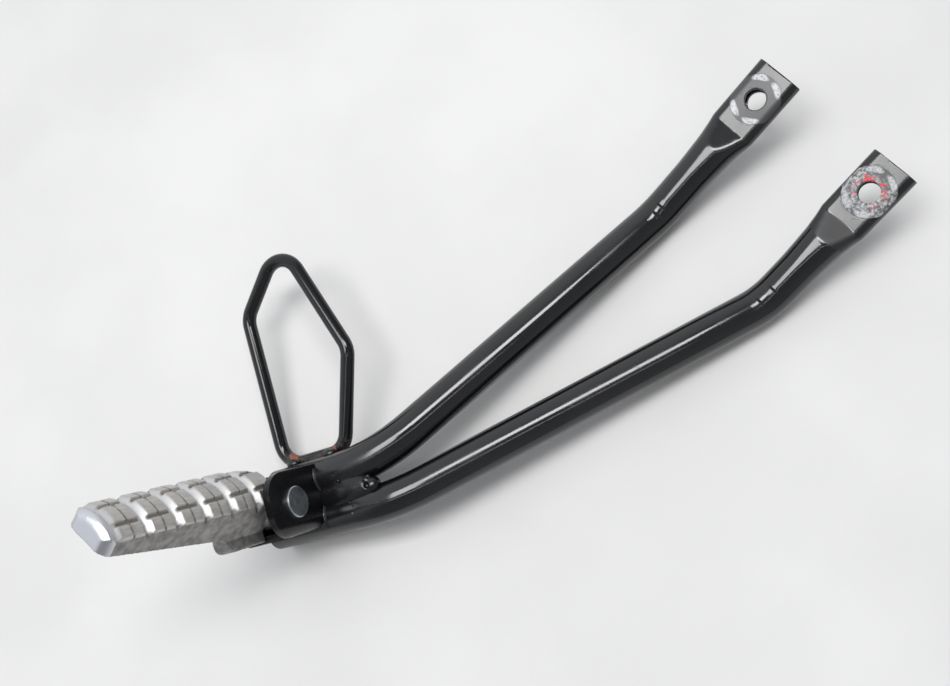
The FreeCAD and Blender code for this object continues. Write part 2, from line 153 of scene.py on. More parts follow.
def end_frame(mount: str) -> tuple[Vector, Matrix]:
    """Frame of a bolted end.

    Args:
        mount: Name of the bolt hole's mount.

    Returns:
        Middle of the hole, and axes with X along the tube's run and Z out of the flat.
    """
    hole = mount_of(frame["record"], mount)
    run = HINGE.direction(math.cos(END_RUN), math.sin(END_RUN), 0)
    out = HINGE.direction(0, 0, 1)
    return Vector(hole["pos_m"]), Matrix((run, out.cross(run), out)).transposed()


class Socket:
    """An output of a shader tree that takes part in Python expressions."""

    def __init__(self, tree: "ShaderTree", output: bpy.types.NodeSocket) -> None:
        """Wrap an output of a tree."""
        self.tree = tree
        self.output = output

    def _math(self, operation: str, *terms: Term) -> "Socket":
        """Add a Math node on the terms."""
        return self.tree.add("ShaderNodeMath", {"operation": operation}, dict(enumerate(terms)))

    def __add__(self, other: Term) -> "Socket":
        """Sum."""
        return self._math("ADD", self, other)

    def __sub__(self, other: Term) -> "Socket":
        """Difference."""
        return self._math("SUBTRACT", self, other)

    def __rsub__(self, other: Term) -> "Socket":
        """Difference from a number."""
        return self._math("SUBTRACT", other, self)

    def __mul__(self, other: Term) -> "Socket":
        """Product."""
        return self._math("MULTIPLY", self, other)

    def __truediv__(self, other: Term) -> "Socket":
        """Quotient."""
        return self._math("DIVIDE", self, other)

    def __pow__(self, other: Term) -> "Socket":
        """Power."""
        return self._math("POWER", self, other)

    def __abs__(self) -> "Socket":
        """Absolute value."""
        return self._math("ABSOLUTE", self)

    __radd__ = __add__
    __rmul__ = __mul__

    def root(self) -> "Socket":
        """Square root."""
        return self._math("SQRT", self)

    def angle(self, other: "Socket") -> "Socket":
        """Angle of the point (other, self), in radians."""
        return self._math("ARCTAN2", self, other)

    def most(self, other: Term) -> "Socket":
        """The larger of two values."""
        return self._math("MAXIMUM", self, other)

    def least(self, other: Term) -> "Socket":
        """The smaller of two values."""
        return self._math("MINIMUM", self, other)

    def wrap(self, period: float) -> "Socket":
        """Distance past the nearest whole number of periods, from minus half a period to half a period."""
        return self._math("WRAP", self, period / 2, -period / 2)

    def rise(self, start: float, end: float) -> "Socket":
        """Smooth step.

        Args:
            start: Where it is 0.
            end: Where it is 1, which may be the smaller.

        Returns:
            The step.
        """
        low, high = min(start, end), max(start, end)
        ends = (0.0, 1.0) if start < end else (1.0, 0.0)
        inputs = {0: self, 1: low, 2: high, 3: ends[0], 4: ends[1]}
        return self.tree.add("ShaderNodeMapRange", {"interpolation_type": "SMOOTHSTEP"}, inputs)


class ShaderTree:
    """Node tree of one material or of the world, with a method for each common step."""

    def __init__(self, tree: bpy.types.NodeTree) -> None:
        """Take over a tree."""
        self.nodes = tree.nodes
        self.links = tree.links

    def add(self, kind: str, settings: Optional[dict[str, Any]] = None,
            sockets: Optional[dict[Union[int, str], Any]] = None, output: Union[int, str] = 0) -> Socket:
        """Add any node.

        Args:
            kind: Type of the node.
            settings: Properties that are set first; "stops" are those of a colour ramp.
            sockets: Values or links of its inputs, by name or number.
            output: The output that is returned.

        Returns:
            The chosen output.
        """
        node = self.nodes.new(kind)
        for name, value in (settings or {}).items():
            if name == "stops":
                self._set_stops(node.color_ramp, value)
            else:
                setattr(node, name, value)
        for key, value in (sockets or {}).items():
            self.feed(node.inputs[key], value)
        return Socket(self, node.outputs[output])

    @staticmethod
    def _set_stops(ramp: bpy.types.ColorRamp, stops: Sequence[tuple[float, Colour]]) -> None:
        """Give a ramp its stops.

        Args:
            ramp: The ramp.
            stops: Place from 0 to 1 and colour of each stop.
        """
        while len(ramp.elements) < len(stops):
            ramp.elements.new(1.0)
        for element, (position, colour) in zip(ramp.elements, stops):
            element.position = position
            element.color = (*colour, 1.0)

    def feed(self, target: bpy.types.NodeSocket, value: Any) -> None:
        """Link a socket or set its value.

        Args:
            target: The input.
            value: A link or a value; a colour gets its alpha here.
        """
        if isinstance(value, Socket):
            self.links.new(value.output, target)
        elif target.type == "RGBA":
            target.default_value = (*value, 1.0)
        else:
            target.default_value = value

    def place(self) -> Socket:
        """Object coordinates, which are the row frame in metres."""
        return self.add("ShaderNodeTexCoord", output="Object")

    def local(self, centre: Vector, axes: Matrix) -> Socket:
        """Coordinates in a frame of the piece's own.

        Args:
            centre: Origin of that frame.
            axes: Matrix whose columns are its axes.

        Returns:
            The coordinates as a vector.
        """
        sockets = {"Vector": self.place(), "Location": centre, "Rotation": axes.to_euler()}
        return self.add("ShaderNodeMapping", {"vector_type": "TEXTURE"}, sockets)

    def split(self, vector: Socket) -> tuple[Socket, Socket, Socket]:
        """Take a vector apart.

        Args:
            vector: The vector.

        Returns:
            Its three numbers.
        """
        first = self.add("ShaderNodeSeparateXYZ", sockets={0: vector})
        outputs = first.output.node.outputs
        return first, Socket(self, outputs[1]), Socket(self, outputs[2])

    def noise(self, scale: float, detail: float = 4.0, vector: Optional[Socket] = None,
              stretch: Optional[Vector] = None) -> Socket:
        """Smooth noise from 0 to 1.

        Args:
            scale: Repeats in a metre.
            detail: Octaves.
            vector: Coordinates, or the row frame where none are given.
            stretch: Factor on each coordinate.

        Returns:
            The value.
        """
        where = vector or self.place()
        if stretch is not None:
            where = self.add("ShaderNodeMapping", sockets={"Vector": where, "Scale": stretch})
        return self.add("ShaderNodeTexNoise", sockets={"Vector": where, "Scale": scale, "Detail": detail})

    def specks(self, scale: float, size: float, share: float) -> Socket:
        """Mask of scattered round specks.

        Args:
            scale: Cells in a metre.
            size: Radius of a speck as a share of its cell.
            share: Share of the cells that hold one.

        Returns:
            The mask.
        """
        cells = self.add("ShaderNodeTexVoronoi", sockets={"Vector": self.place(), "Scale": scale})
        colour = Socket(self, cells.output.node.outputs["Color"])
        chosen = self.split(colour)[0].rise(share, share * 0.98)
        return cells.rise(size, size * 0.6) * chosen

    def mix(self, factor: Term, first: Any, second: Any) -> Socket:
        """Colour between two colours."""
        return self.add("ShaderNodeMix", {"data_type": "RGBA"}, {0: factor, 6: first, 7: second}, output=2)

    def bump(self, height: Socket, distance: float, strength: float) -> Socket:
        """Normal bent by a height.

        Args:
            height: Height from 0 to 1.
            distance: What 1 means, in metres.
            strength: Share of the effect.

        Returns:
            The normal.
        """
        sockets = {"Height": height, "Distance": distance, "Strength": strength}
        return self.add("ShaderNodeBump", sockets=sockets)


class Finish(ShaderTree):
    """A material with one principled shader."""

    def __init__(self, name: str) -> None:
        """Start the material.

        Args:
            name: Its name.
        """
        self.material = bpy.data.materials.new(name)
        self.material.use_nodes = True
        super().__init__(self.material.node_tree)
        self.shader = self.nodes["Principled BSDF"]

    def set(self, **values: Any) -> None:
        """Set or link sockets of the shader.

        Args:
            values: Value or link of each socket, with underscores for the spaces in its name.
        """
        for name, value in values.items():
            self.feed(self.shader.inputs[name.replace("_", " ")], value)


class Wear(Enum):
    """What has happened to a painted piece."""

    HANDLED = "handled"
    BOLTED = "bolted"
    RUSTED = "rusted"
    WELDED = "welded"


@dataclass(frozen=True)
class WasherMark:
    """Print that a bolt's washer has left round a bolt hole.

    Args:
        mount: Name of the bolt hole's mount.
        gouged: Whether the whole print is torn down to the metal.
        radius: Outer radius of the print.
        line_width: Half the width of the dark line round it.
        spot_radius: Distance of the bare spots from the hole's middle.
        spot_angle: Angle of the bare spots from the tube's run, in degrees.
        spot_length: Half the length of a spot.
        spot_width: Half the width of a spot.
        wobble: Unevenness of its edges.
        top: Height at which the upper face of the end starts.
        flat_start: Where the pressed flat starts along the run.
        torn_end: Where the torn metal ends along the run.
        red_start: Where the red flecks start along the run.
        red_radius: Where they end round the hole.
    """

    mount: str
    gouged: bool
    radius: float = 10.4 * MM
    line_width: float = 0.45 * MM
    spot_radius: float = 8.9 * MM
    spot_angle: float = 29.0
    spot_length: float = 3.6 * MM
    spot_width: float = 1.4 * MM
    wobble: float = 0.8 * MM
    top: Span = (2.0 * MM, 3.0 * MM)
    flat_start: Span = (-14.6 * MM, -14.2 * MM)
    torn_end: Span = (8.0 * MM, 4.0 * MM)
    red_start: Span = (-5.5 * MM, -2.5 * MM)
    red_radius: Span = (8.0 * MM, 6.5 * MM)

    def masks(self, tree: ShaderTree) -> dict[str, Socket]:
        """Masks of the print.

        Args:
            tree: The tree that the nodes go to.

        Returns:
            Masks named bare, dull, ring, red and flat.
        """
        along, across, out = tree.split(tree.local(*end_frame(self.mount)))
        radius = (along * along + across * across).root()
        edge = radius + (tree.noise(600.0, 3.0) - 0.5) * self.wobble
        turn = math.radians(self.spot_angle)
        outward = abs(along) * math.cos(turn) + abs(across) * math.sin(turn)
        sideways = abs(across) * math.cos(turn) - abs(along) * math.sin(turn)
        reach = ((edge - self.spot_radius) / self.spot_width) ** 2.0
        reach = reach + (sideways / self.spot_length) ** 2.0 + outward.rise(2.0 * MM, 0.0) * 4.0
        bare = reach.rise(1.25, 0.45)
        inside = edge.rise(self.radius, self.radius - 0.4 * MM)
        dull = inside * 0.55
        red: Term = 0.0
        if self.gouged:
            torn = tree.noise(800.0, 6.0).rise(0.36, 0.66)
            bare = (bare * 0.8).most(inside * torn * along.rise(*self.torn_end) * 0.75)
            dull = inside
            flecks = tree.noise(650.0, 4.0).rise(0.56, 0.60)
            red = flecks * (edge.rise(*self.red_radius) * along.rise(*self.red_start))
        ring = abs(edge - self.radius).rise(self.line_width, self.line_width / 3)
        flat = out.rise(*self.top) * along.rise(*self.flat_start)
        marks = {"bare": bare, "dull": dull, "ring": ring, "red": red}
        return {name: mark * flat for name, mark in marks.items()} | {"flat": flat}


@dataclass(frozen=True)
class RustRing:
    """Rust round the wire of the guard loop where a weld has burnt the paint.

    Args:
        x: Place along the hinge pin, in millimetres.
        half_length: Half the length of the ring, in millimetres.
        height: Where the rust fades out along the fold.
        wobble: Unevenness of its edges.
    """

    x: float
    half_length: float
    height: Span = (24.0 * MM, 20.0 * MM)
    wobble: float = 2.6 * MM

    def mask(self, tree: ShaderTree, along: Socket, up: Socket) -> Socket:
        """Mask of the ring.

        Args:
            tree: The tree that the nodes go to.
            along: Coordinate along the hinge pin, in metres.
            up: Coordinate along the fold, in metres.

        Returns:
            The mask.
        """
        shift = (tree.noise(500.0, 4.0) - 0.5) * self.wobble
        outer, inner = (self.half_length + 0.5) * MM, (self.half_length - 0.4) * MM
        near = abs(along + shift - self.x * MM).rise(outer, inner)
        patchy = tree.noise(620.0, 5.0).rise(0.32, 0.56) * 0.65 + 0.35
        return near * up.rise(*self.height) * patchy


@dataclass(frozen=True)
class DullPatch:
    """Patch of a tube that has lost its gloss.

    It is a wrinkle at a hard bend, or the slope that the press has rubbed.

    Args:
        mount: Name of the bolt hole at the end of the same run.
        along: Place from the hole along the run, in millimetres.
        across: Place across the run.
        half_length: Half its extent along the run.
        half_width: Half its extent round the tube.
        dulling: Roughness that it adds.
        top: Height at which the upper side of the tube starts.
    """

    mount: str
    along: float
    across: float
    half_length: float = 0.6
    half_width: float = 2.4
    dulling: float = 0.85
    top: Span = (2.0 * MM, 4.0 * MM)

    def roughness(self, tree: ShaderTree) -> Socket:
        """Roughness that the patch adds.

        Args:
            tree: The tree that the nodes go to.

        Returns:
            The roughness, which is 0 off the patch.
        """
        along, across, out = tree.split(tree.local(*end_frame(self.mount)))
        reach = ((along - self.along * MM) / (self.half_length * MM)) ** 2.0
        reach = reach + ((across - self.across * MM) / (self.half_width * MM)) ** 2.0
        return reach.rise(1.0, 0.85) * out.rise(*self.top) * self.dulling


DULL_PATCHES = (
    DullPatch("upper_bolt_hole", -55.8, -0.5),
    DullPatch("upper_bolt_hole", -59.4, -1.9, 0.8, 2.6),
    DullPatch("lower_bolt_hole", -50.7, 0.4),
    DullPatch("lower_bolt_hole", -57.5, 0.6),
    DullPatch("lower_bolt_hole", -19.4, 0.0, 5.2, 14.0, 0.35),
)
WASHER_MARKS = (WasherMark("upper_bolt_hole", False), WasherMark("lower_bolt_hole", True))
RUST_RINGS = (RustRing(-3.4, 1.7), RustRing(18.6, 0.9))


@dataclass
class Coat:
    """Colour, roughness and relief of a finish while its marks are laid on.

    Args:
        colour: Colour so far.
        roughness: Roughness so far.
        height: Relief so far.
    """

    colour: Socket
    roughness: Socket
    height: Socket


@dataclass(frozen=True)
class BlackPaint:
    """Glossy black paint with dust, scuffs and chips, worn through where it was bolted or welded.

    Args:
        wear: What has happened to the piece.
        colour: Colour of the paint.
        dusty: Colour where dust lies.
        primer: Colour of the primer that chips and prints show.
        metal: Bare steel.
        rust: Two shades of rust.
        grime: Brown grime at the foot of the guard loop.
        red: Flecks of red thread paint.
        roughness: Least and most roughness of sound paint.
        burnt: Where the dulling by the welds' heat starts and is full along the hinge pin.
        grime_edge: Where the grime fades out along the fold.
        gloss: Index of refraction by wear.
    """

    wear: Wear
    colour: Colour = (0.0030, 0.0032, 0.0042)
    dusty: Colour = (0.0125, 0.0125, 0.0135)
    primer: Colour = (0.13, 0.13, 0.135)
    metal: Colour = (0.66, 0.66, 0.67)
    rust: tuple[Colour, Colour] = ((0.19, 0.055, 0.022), (0.36, 0.13, 0.06))
    grime: Colour = (0.075, 0.062, 0.052)
    red: Colour = (0.62, 0.05, 0.06)
    roughness: Span = (0.09, 0.20)
    burnt: Span = (48.0 * MM, 24.0 * MM)
    grime_edge: Span = (22.0 * MM, 17.0 * MM)
    gloss: ClassVar[dict[Wear, float]] = {
        Wear.BOLTED: 1.66,
        Wear.RUSTED: 1.52,
        Wear.HANDLED: 1.42,
        Wear.WELDED: 1.55,
    }

    def make(self) -> bpy.types.Material:
        """Build the material.

        Returns:
            The material.
        """
        finish = Finish(f"black_paint_{self.wear.value}")
        cloud = finish.noise(45.0, 5.0)
        fine = finish.noise(1400.0, 3.0)
        scuffs = finish.noise(70.0, 6.0, stretch=Vector((1.0, 6.0, 9.0))).rise(0.62, 0.74)
        chips = finish.specks(190.0, 0.10, 0.055)
        dust = (cloud.rise(0.42, 0.78) * 0.55 + scuffs * 0.35) * fine.rise(0.35, 0.65)
        low, high = self.roughness
        roughness = low + cloud.rise(0.3, 0.8) * (high - low) + scuffs * 0.10
        along, up, _ = finish.split(finish.local(HINGE.origin, HINGE.axes))
        if self.wear in (Wear.BOLTED, Wear.WELDED):
            burnt = along.rise(*self.burnt)
            roughness = roughness + burnt * 0.12
            dust = dust.most(burnt * cloud.rise(0.2, 0.7) * 0.4)
        colour = finish.mix(dust, self.colour, self.dusty)
        colour = finish.mix(chips * 0.8, colour, self.primer)
        coat = Coat(colour, roughness, fine * 0.35 + (1.0 - chips) * 0.4)
        if self.wear is Wear.BOLTED:
            self._lay_bolt_marks(finish, coat)
        elif self.wear is Wear.RUSTED:
            self._lay_rust(finish, coat, along, up)
        elif self.wear is Wear.HANDLED:
            coat.roughness = coat.roughness + 0.12
        finish.set(Base_Color=coat.colour, Roughness=coat.roughness.least(0.95), IOR=self.gloss[self.wear],
                   Normal=finish.bump(coat.height, 0.06 * MM, 0.3))
        return finish.material

    def _lay_bolt_marks(self, finish: Finish, coat: Coat) -> None:
        """Dull the tubes' bends and print the washers.

        Args:
            finish: The finish.
            coat: What the marks are laid on.
        """
        for patch in DULL_PATCHES:
            coat.roughness = coat.roughness + patch.roughness(finish)
        for mark in WASHER_MARKS:
            masks = mark.masks(finish)
            bare, dull, ring = masks["bare"], masks["dull"], masks["ring"]
            rough_metal = finish.noise(1600.0, 4.0)
            shade = finish.mix(rough_metal.rise(0.2, 0.6), self.primer, self.metal)
            coat.colour = finish.mix(dull * 0.6, coat.colour, self.primer)
            coat.colour = finish.mix(bare, coat.colour, shade)
            coat.colour = finish.mix(ring * 0.8, coat.colour, self.colour)
            coat.colour = finish.mix(masks["red"], coat.colour, self.red)
            coat.roughness = coat.roughness + masks["flat"] * 0.03 + dull * 0.40 + bare * 0.25
            coat.height = coat.height - ring * 1.2 - bare * 0.7 * rough_metal

    def _lay_rust(self, finish: Finish, coat: Coat, along: Socket, up: Socket) -> None:
        """Rust the guard loop at its tacks and soil its foot.

        Args:
            finish: The finish.
            coat: What the rust is laid on.
            along: Coordinate along the hinge pin, in metres.
            up: Coordinate along the fold, in metres.
        """
        grain = finish.noise(1500.0, 5.0)
        shade = finish.mix(grain.rise(0.3, 0.7), *self.rust)
        for ring in RUST_RINGS:
            rusted = ring.mask(finish, along, up)
            coat.colour = finish.mix(rusted, coat.colour, shade)
            coat.roughness = coat.roughness + rusted * 0.5
            coat.height = coat.height + rusted * grain
        foot = up.rise(*self.grime_edge) * finish.noise(400.0, 5.0).rise(0.35, 0.65)
        coat.colour = finish.mix(foot * 0.45, coat.colour, self.grime)
        coat.roughness = coat.roughness + foot * 0.25


@dataclass(frozen=True)
class CastAluminium:
    """Cast aluminium whose crown was machined and then worn by boots.

    Args:
        turn: Turn of the tread about the peg, in degrees.
        raised: Middle of the tread above the pin, in millimetres.
        crown_radius: Radius of the crown.
        crown_top: Top of the crown above the middle of the tread.
        tick_angle: Angle of the lengthwise grooves from the crown's top, in degrees.
        tick_half_width: Half the width of such a groove.
        nose: Start of the smooth nose along the peg.
        pitch: Distance from one cross groove to the next along the peg.
        first_groove: Place of the cross groove next to the nose.
        tread: Two shades of the worn tread.
        groove_and_highlight: Colour of the machined cross grooves, lighter than the tread partly as a painted
            highlight of their bright reflection.
        side: Two shades of the cast skin.
        nose_colour: Colour of the nose.
        fine_groove_dark: Darker colour laid in the fine grooves.
    """

    turn: float = -50.0
    raised: float = 8.0
    crown_radius: float = 17.0 * MM
    crown_top: float = 8.0 * MM
    tick_angle: float = 16.0
    tick_half_width: float = 0.55 * MM
    nose: float = 85.0 * MM
    pitch: float = 13.8 * MM
    first_groove: float = 85.2 * MM
    tread: tuple[Colour, Colour] = ((0.44, 0.425, 0.405), (0.66, 0.645, 0.62))
    groove_and_highlight: Colour = (0.66, 0.655, 0.65)
    side: tuple[Colour, Colour] = ((0.19, 0.187, 0.18), (0.44, 0.43, 0.42))
    nose_colour: Colour = (0.66, 0.67, 0.70)
    fine_groove_dark: Colour = (0.085, 0.070, 0.060)

    def axes(self) -> Matrix:
        """Axes of the tread.

        Returns:
            Matrix with X across the tread, Y out of its crown and Z along the peg.
        """
        turn = math.radians(self.turn)
        across = HINGE.direction(math.cos(turn), math.sin(turn), 0)
        crown = HINGE.direction(-math.sin(turn), math.cos(turn), 0)
        return Matrix((across, crown, HINGE.direction(0, 0, 1))).transposed()

    def make(self) -> bpy.types.Material:
        """Build the material.

        Returns:
            The material.
        """
        finish = Finish("cast_aluminium")
        local = finish.local(HINGE.point(0, self.raised, 0), self.axes())
        across, out, along = finish.split(local)
        rise = out + (self.crown_radius - self.crown_top)
        radius = (across * across + rise * rise).root()
        depth = self.crown_radius - radius
        angle = across.angle(rise)
        beside = abs(abs(angle) - math.radians(self.tick_angle)) * self.crown_radius
        on_crown = rise.rise(6.0 * MM, 9.0 * MM) * along.rise(self.nose + 0.4 * MM, self.nose)
        cross = abs((along - self.first_groove).wrap(self.pitch))
        tick = beside.rise(self.tick_half_width + 0.2 * MM, self.tick_half_width - 0.1 * MM)
        tick = tick * depth.rise(0.1 * MM, 0.35 * MM) * cross.rise(1.6 * MM, 2.4 * MM)
        fine = cross.rise(6.35 * MM, 6.6 * MM) * depth.rise(0.05 * MM, 0.25 * MM)
        flank = abs(across).rise(8.2 * MM, 8.8 * MM) * out.rise(4.4 * MM, 3.4 * MM)
        on_crown = on_crown * (1.0 - flank) * depth.rise(4.2 * MM, 3.6 * MM)
        # The fine grooves are painted darker and made less metallic.
        darkened_grooves = tick.most(fine) * on_crown * depth.rise(2.4 * MM, 1.8 * MM)
        groove_and_highlight = cross.rise(3.1 * MM, 1.1 * MM) * on_crown
        under = out.rise(-1.0 * MM, -3.0 * MM)
        rough_skin = flank.most(under)
        nose = along.rise(self.nose, self.nose + 0.6 * MM)
        cloud = finish.noise(140.0, 6.0, local)
        mottle = finish.noise(330.0, 5.0, local)
        grain = finish.noise(1300.0, 4.0, local)
        brushed = finish.noise(260.0, 4.0, local, Vector((9.0, 9.0, 1.0)))
        colour = finish.mix(brushed.rise(0.3, 0.7) * 0.6 + cloud * 0.4, *self.tread)
        # Painted highlight: the machined cross grooves get a lighter colour that stands in for their bright
        # reflection.
        colour = finish.mix(groove_and_highlight, colour, self.groove_and_highlight)
        mottled = mottle.rise(0.32, 0.68) * 0.6 + cloud.rise(0.35, 0.65) * 0.25 + grain * 0.15
        skin = finish.mix(mottled, *self.side)
        colour = finish.mix(rough_skin, colour, skin)
        colour = finish.mix(nose, colour, self.nose_colour)
        colour = finish.mix(darkened_grooves * 0.75, colour, self.fine_groove_dark)
        roughness = 0.40 + cloud * 0.12 + groove_and_highlight * 0.04 + rough_skin * 0.12 - nose * 0.14 + darkened_grooves * 0.25
        height = grain * (0.25 + rough_skin * 0.75) + brushed * 0.25
        finish.set(Base_Color=colour, Metallic=1.0 - darkened_grooves * 0.7, Roughness=roughness.most(0.14),
                   Normal=finish.bump(height, 0.10 * MM, 0.4))
        return finish.material


@dataclass(frozen=True)
class ZincPlate:
    """Dull blue-grey zinc on turned steel.

    Args:
        colour: Two shades of the plate.
    """

    colour: tuple[Colour, Colour] = ((0.30, 0.33, 0.35), (0.44, 0.47, 0.49))

    def make(self) -> bpy.types.Material:
        """Build the material.

        Returns:
            The material.
        """
        finish = Finish("zinc_plate")
        local = finish.local(HINGE.origin, HINGE.axes)
        cloud = finish.noise(420.0, 5.0, local)
        grain = finish.noise(1800.0, 3.0, local)
        colour = finish.mix(cloud.rise(0.3, 0.7), *self.colour)
        finish.set(Base_Color=colour, Metallic=1.0, Roughness=0.27 + cloud * 0.16,
                   Normal=finish.bump(grain * 0.6 + cloud * 0.4, 0.05 * MM, 0.3))
        return finish.material


class Stock(Enum):
    """What a new piece is started from."""

    LUMP = "lump"
    BLOCK = "block"


class Meeting(Enum):
    """What a boolean with a tool leaves of a piece."""

    SHARED = "INTERSECT"
    REST = "DIFFERENCE"


class Bench:
    """Modelling steps that are done by operators, one piece at a time.

    Attributes:
        merge_distance: Distance below which the corners of loose faces are joined.
    """

    merge_distance: ClassVar[float] = 0.002 * MM

    @staticmethod
    def pick(piece: bpy.types.Object) -> None:
        """Select one piece alone and make it active.

        Args:
            piece: The piece.
        """
        bpy.ops.object.select_all(action="DESELECT")
        piece.select_set(True)
        bpy.context.view_layer.objects.active = piece

    @classmethod
    @contextmanager
    def editing(cls, piece: bpy.types.Object) -> Iterator[None]:
        """Edit mode on one piece alone, for the length of a with block.

        Args:
            piece: The piece.

        Returns:
            The block's context.
        """
        cls.pick(piece)
        bpy.ops.object.mode_set(mode="EDIT")
        yield
        bpy.ops.object.mode_set(mode="OBJECT")

    @staticmethod
    def cover(piece: bpy.types.Object, material: bpy.types.Material) -> None:
        """Give a piece one finish all over."""
        piece.data.materials.clear()
        piece.data.materials.append(material)

    @classmethod
    def copy_of(cls, node: str, name: str, merged: bool = True) -> bpy.types.Object:
        """Copy of a solid's mesh, free of its body.

        Args:
            node: Name of the solid's node.
            name: Name of the copy.
            merged: Whether its loose faces are joined, for which it loses the solid's exact normals.

        Returns:
            The copy.
        """
        cls.pick(frame["nodes"][node])
        bpy.ops.object.duplicate()
        piece = bpy.context.active_object
        piece.name = name
        piece.data.name = name
        piece.parent = None
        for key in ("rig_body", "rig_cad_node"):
            del piece[key]
        if not merged:
            return piece
        bpy.ops.mesh.customdata_custom_splitnormals_clear()
        with cls.editing(piece):
            bpy.ops.mesh.select_all(action="SELECT")
            bpy.ops.mesh.remove_doubles(threshold=cls.merge_distance)
        return piece

    @classmethod
    def modify(cls, piece: bpy.types.Object, kind: str, **settings: Any) -> None:
        """Add a modifier and apply it.

        Args:
            piece: The piece.
            kind: Type of the modifier.
            settings: Its settings.
        """
        cls.pick(piece)
        modifier = piece.modifiers.new(kind.lower(), kind)
        for name, value in settings.items():
            setattr(modifier, name, value)
        bpy.ops.object.modifier_apply(modifier=modifier.name)

    @classmethod
    def soften(cls, piece: bpy.types.Object, voxel: float, passes: int) -> None:
        """Round every edge of a closed piece.

        Args:
            piece: The piece.
            voxel: Size of the new faces.
            passes: Smoothing passes.
        """
        cls.modify(piece, "REMESH", mode="VOXEL", voxel_size=voxel, use_smooth_shade=True)
        cls.drop_crumbs(piece)
        cls.modify(piece, "SMOOTH", factor=0.5, iterations=passes)

    @classmethod
    def select_faces(cls, piece: bpy.types.Object, chosen: Sequence[bool]) -> None:
        """Select some faces of a piece and nothing else.

        Args:
            piece: The piece.
            chosen: Whether each face is selected.
        """
        with cls.editing(piece):
            bpy.ops.mesh.select_mode(type="FACE")
            bpy.ops.mesh.select_all(action="DESELECT")
        piece.data.polygons.foreach_set("select", list(chosen))

    @classmethod
    def drop_crumbs(cls, piece: bpy.types.Object) -> None:
        """Delete whatever isn't joined to the largest face of a piece.

        Args:
            piece: The piece.
        """
        faces = piece.data.polygons
        largest = max(faces, key=lambda face: face.area).index
        cls.select_faces(piece, [face.index == largest for face in faces])
        with cls.editing(piece):
            bpy.ops.mesh.select_linked()
            bpy.ops.mesh.select_all(action="INVERT")
            bpy.ops.mesh.delete(type="VERT")

    @classmethod
    def drop_faces(cls, piece: bpy.types.Object, dropped: Sequence[bool]) -> None:
        """Delete some faces of a piece.

        Args:
            piece: The piece.
            dropped: Whether each face is deleted.
        """
        cls.select_faces(piece, dropped)
        with cls.editing(piece):
            bpy.ops.mesh.delete(type="FACE")

    @classmethod
    def roughen(cls, piece: bpy.types.Object, scale: float, height: float) -> None:
        """Push the surface in and out by clouds.

        Args:
            piece: The piece.
            scale: Size of the clouds.
            height: Height from the lowest to the highest.
        """
        clouds = bpy.data.textures.new(f"{piece.name}_clouds", "CLOUDS")
        clouds.noise_scale = scale
        clouds.noise_depth = 3
        cls.modify(piece, "DISPLACE", texture=clouds, texture_coords="LOCAL", strength=height, mid_level=0.5)

    @classmethod
    def start(cls, stock: Stock, name: str, middle: Vector, size: Vector, axes: Matrix) -> bpy.types.Object:
        """Start a piece from a lump or a block.

        Args:
            stock: What it is started from.
            name: Name of the piece.
            middle: Its place.
            size: Half its size along its own axes.
            axes: Matrix whose columns are those axes.

        Returns:
            The piece.
        """
        bpy.ops.object.select_all(action="DESELECT")
        if stock is Stock.LUMP:
            bpy.ops.mesh.primitive_ico_sphere_add(subdivisions=4, radius=1.0)
        else:
            bpy.ops.mesh.primitive_cube_add(size=2.0)
        piece = bpy.context.active_object
        piece.name = name
        piece.matrix_world = Matrix.Translation(middle) @ axes.to_4x4() @ Matrix.Diagonal(size).to_4x4()
        cls.pick(piece)
        bpy.ops.object.transform_apply(location=True, rotation=True, scale=True)
        return piece

    @classmethod
    def shrink(cls, piece: bpy.types.Object, centre: Vector, share: float) -> None:
        """Scale a piece about a point.

        Args:
            piece: The piece.
            centre: The point.
            share: New size as a share of the old one.
        """
        with cls.editing(piece):
            bpy.ops.mesh.select_all(action="SELECT")
            bpy.ops.transform.resize(value=(share,) * 3, center_override=centre)

    @classmethod
    def combine(cls, piece: bpy.types.Object, tool: bpy.types.Object, meeting: Meeting) -> None:
        """Boolean of a piece with a tool, which is used up."""
        cls.modify(piece, "BOOLEAN", operation=meeting.value, object=tool, solver="EXACT")
        bpy.data.objects.remove(tool)

    @staticmethod
    def select_open_edges() -> None:
        """Select the edges of the mesh in edit mode that bound a hole or have no face."""
        bpy.ops.mesh.select_mode(type="EDGE")
        bpy.ops.mesh.select_all(action="DESELECT")
        bpy.ops.mesh.select_non_manifold(
            extend=False, use_multi_face=False, use_non_contiguous=False, use_verts=False)

    @classmethod
    def join(cls, pieces: Sequence[bpy.types.Object], name: str) -> bpy.types.Object:
        """Join pieces into the first one.

        Args:
            pieces: The pieces.
            name: Name of the joined piece.

        Returns:
            The joined piece.
        """
        cls.pick(pieces[0])
        for piece in pieces:
            piece.select_set(True)
        bpy.ops.object.join()
        pieces[0].name = name
        return pieces[0]


@dataclass
class CastPeg:
    """The cast peg, with every edge rounded as a casting's is.

    Args:
        voxel: Size of its faces.
        passes: Smoothing passes.
        skin: Size of the clouds on its cast skin.
        skin_height: Their height.
    """

    voxel: float = 0.38 * MM
    passes: int = 3
    skin: float = 2.2 * MM
    skin_height: float = 0.10 * MM

    def build(self) -> bpy.types.Object:
        """Model the peg.

        Returns:
            The peg.
        """
        peg = Bench.copy_of("footpeg", "cast_peg")
        Bench.soften(peg, self.voxel, self.passes)
        Bench.roughen(peg, self.skin, self.skin_height)
        return peg

    def dress(self, peg: bpy.types.Object, metal: bpy.types.Material) -> None:
        """Give the peg its metal and let it stand for its solid.

        Args:
            peg: The peg.
            metal: Its finish.
        """
        Bench.cover(peg, metal)
        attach(peg, "peg")
        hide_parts("footpeg")


